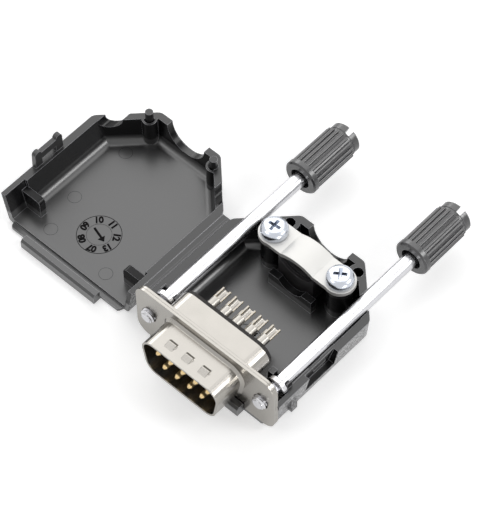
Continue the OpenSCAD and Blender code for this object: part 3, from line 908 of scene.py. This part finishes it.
def clamp_screw(side, sign):
    """Pan-head screw with a cross recess."""
    low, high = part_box("clamp_screws")
    x, y = sign * SCREW_X, (low.y + high.y) / 2
    seat, head_r = high.z - HEAD_HEIGHT, sizes().head_r
    dome = [(head_r * math.cos(a) ** DOME_FULLNESS, seat + HEAD_RIM + HEAD_DOME * math.sin(a))
            for a in map(math.radians, DOME_STEPS)]
    screw = lathe(f"clamp_screw_{side}", [
        (SHANK_TIP_R, low.z), (SHANK_R, low.z + SHANK_TIP), (SHANK_R, seat),
        (head_r - HEAD_EDGE, seat), (head_r, seat + HEAD_EDGE), (head_r, seat + HEAD_RIM),
        *dome, (HEAD_FLAT_R, high.z)], (x, y, 0), along="Z")
    turn = math.radians(RECESS_TURN[side])
    for quarter in (0, 1):
        cut(screw, recess_blade(high.z, turn + quarter * math.pi / 2, x, y))
    wear(screw, "zinc", "base")
    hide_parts("clamp_screws")


class HOOD_OT_clamp(bpy.types.Operator):
    """Adds the clamp screws and finishes the clamp plate and the block under the cable"""

    bl_idname = "hood.clamp"
    bl_label = "Cable Clamp"

    def execute(self, context):
        dress("clamp", "clamp_plate")
        dress("grip", "grip_block")
        for side, sign in SIDES.items():
            clamp_screw(side, sign)
        return {"FINISHED"}


# ---------------------------------------------------------------- plug

class HOOD_OT_plug(bpy.types.Operator):
    """Finishes the plug's shells, insulators and contacts"""

    bl_idname = "hood.plug"
    bl_label = "Plug"

    def execute(self, context):
        dress("tin", "connector_front_shell", "connector_rear_shell")
        dress("insulator", "front_insulator", "rear_insulator")
        dress("gold", *[name for name in NODES if name.startswith("contact_")])
        return {"FINISHED"}


# ---------------------------------------------------------------- stage

FLOOR_SIZE, FLOOR_DROP = 4.0, 0.02 * MM
# How much the floor shines for the camera and in reflections, so that it reads as white.
FLOOR_GLOW = 0.52
WORLD_STRENGTH = 0.16
# Each lamp's name, place, size and power; all are aimed at LAMP_TARGET.
LAMPS = (
    ("key", (-0.42, 0.46, 0.86), 1.3, 6.6),
    ("side", (0.70, 0.44, 0.66), 0.35, 2.9),
    ("left", (-0.88, 0.40, 0.36), 0.35, 1.1),
    ("front", (-0.40, -0.52, 0.78), 0.4, 1.0),
    ("right", (0.88, -0.24, 0.14), 0.24, 2.4),
)
LAMP_TARGET = Vector((-0.016, 0.014, 0.0))
# The camera: degrees round from the front, up and about its own axis; place; lens in
# millimetres on a 36 mm sensor.
CAMERA_TURN = (43.564, 55.668, -1.26)
CAMERA_PLACE = Vector((165.125, -165.960, 378.720)) * MM
CAMERA_LENS = 201.567


def lamp(name, location, size, watts):
    """A soft square lamp aimed at the object."""
    data = bpy.data.lights.new(name, "AREA")
    data.shape, data.size, data.energy = "SQUARE", size, watts
    lamp_object = bpy.data.objects.new(name, data)
    lamp_object.location = location
    lamp_object.rotation_mode = "QUATERNION"
    lamp_object.rotation_quaternion = (
        LAMP_TARGET - Vector(location)).to_track_quat("-Z", "Y")
    bpy.context.scene.collection.objects.link(lamp_object)


def seen(tree):
    """1 for rays that show a surface to the camera, directly or in a reflection, else 0."""
    path = tree.nodes.new("ShaderNodeLightPath")
    return largest(tree, *(path.outputs[f"Is {kind} Ray"]
                           for kind in ("Camera", "Transmission", "Glossy")))


def world_light():
    """A plain world: white to the camera and to reflections, and dimmer as a lamp."""
    world = bpy.data.worlds.new("studio")
    world.use_nodes = True
    bpy.context.scene.world = world
    tree = world.node_tree
    background = tree.nodes["Background"]
    background.inputs["Color"].default_value = (1, 1, 1, 1)
    tree.links.new(between(tree, seen(tree), WORLD_STRENGTH, 1.0),
                   background.inputs["Strength"])


def studio_floor():
    """A plain pale floor that reads as white and keeps the object's shadow."""
    deselect()
    bpy.ops.mesh.primitive_plane_add(size=FLOOR_SIZE, location=(0, 0, -FLOOR_DROP))
    floor = bpy.context.object
    floor.name = "floor"
    material = bpy.data.materials.new("floor")
    material.use_nodes = True
    tree = material.node_tree
    shader = tree.nodes["Principled BSDF"]
    shader.inputs["Base Color"].default_value = (*colours().backdrop, 1)
    shader.inputs["Roughness"].default_value = 0.9
    shader.inputs["Specular IOR Level"].default_value = 0.2
    glow = tree.nodes.new("ShaderNodeEmission")
    tree.links.new(calculate(tree, "MULTIPLY", seen(tree), FLOOR_GLOW),
                   glow.inputs["Strength"])
    both = tree.nodes.new("ShaderNodeAddShader")
    tree.links.new(shader.outputs["BSDF"], both.inputs[0])
    tree.links.new(glow.outputs["Emission"], both.inputs[1])
    tree.links.new(both.outputs["Shader"], tree.nodes["Material Output"].inputs["Surface"])
    floor.data.materials.append(material)


def camera():
    """The camera, above the right front corner, with a long lens."""
    azimuth, elevation, roll = (math.radians(angle) for angle in CAMERA_TURN)
    back = Vector((math.sin(azimuth) * math.cos(elevation),
                   -math.cos(azimuth) * math.cos(elevation), math.sin(elevation)))
    right = Vector((math.cos(azimuth), math.sin(azimuth), 0))
    up = back.cross(right)
    right, up = (right * math.cos(roll) + up * math.sin(roll),
                 up * math.cos(roll) - right * math.sin(roll))
    data = bpy.data.cameras.new("camera")
    data.sensor_fit, data.sensor_width, data.lens = "HORIZONTAL", 36, CAMERA_LENS
    data.clip_start, data.clip_end = 0.01, 20
    view = bpy.data.objects.new("camera", data)
    view.matrix_world = (Matrix.Translation(CAMERA_PLACE)
                         @ Matrix((right, up, back)).transposed().to_4x4())
    bpy.context.scene.collection.objects.link(view)
    bpy.context.scene.camera = view


class HOOD_OT_stage(bpy.types.Operator):
    """Adds the floor, the lamps, the world and the camera"""

    bl_idname = "hood.stage"
    bl_label = "Stage"

    def execute(self, context):
        bpy.context.scene.view_settings.view_transform = "Standard"
        studio_floor()
        world_light()
        for settings in LAMPS:
            lamp(*settings)
        camera()
        return {"FINISHED"}


# ---------------------------------------------------------------- panel and registration

OPERATORS = (HOOD_OT_shells, HOOD_OT_fillets, HOOD_OT_dials, HOOD_OT_marks, HOOD_OT_film,
             HOOD_OT_thumbscrews, HOOD_OT_clamp, HOOD_OT_plug, HOOD_OT_stage)


class HOOD_PT_panel(bpy.types.Panel):
    """Lists the hood's sizes, colours and building steps"""

    bl_idname = "HOOD_PT_panel"
    bl_label = "Connector Hood"
    bl_space_type = "VIEW_3D"
    bl_region_type = "UI"
    bl_category = "Hood"

    def draw(self, context):
        for group in (context.scene.hood_sizes, context.scene.hood_colours):
            box = self.layout.box()
            for name in group.__annotations__:
                box.prop(group, name)
        for operator in OPERATORS:
            self.layout.operator(operator.bl_idname)


CLASSES = (HoodSizes, HoodColours, *OPERATORS, HOOD_PT_panel)


def register():
    """Registers the classes and the settings."""
    for cls in CLASSES:
        bpy.utils.register_class(cls)
    bpy.types.Scene.hood_sizes = bpy.props.PointerProperty(type=HoodSizes)
    bpy.types.Scene.hood_colours = bpy.props.PointerProperty(type=HoodColours)


def unregister():
    """Removes the settings and the classes."""
    del bpy.types.Scene.hood_sizes
    del bpy.types.Scene.hood_colours
    for cls in reversed(CLASSES):
        bpy.utils.unregister_class(cls)


def main():
    """Builds everything in order."""
    register()
    make_materials()
    for operator in OPERATORS:
        section, name = operator.bl_idname.split(".")
        getattr(getattr(bpy.ops, section), name)()
    deselect()


if __name__ == "__main__":
    main()
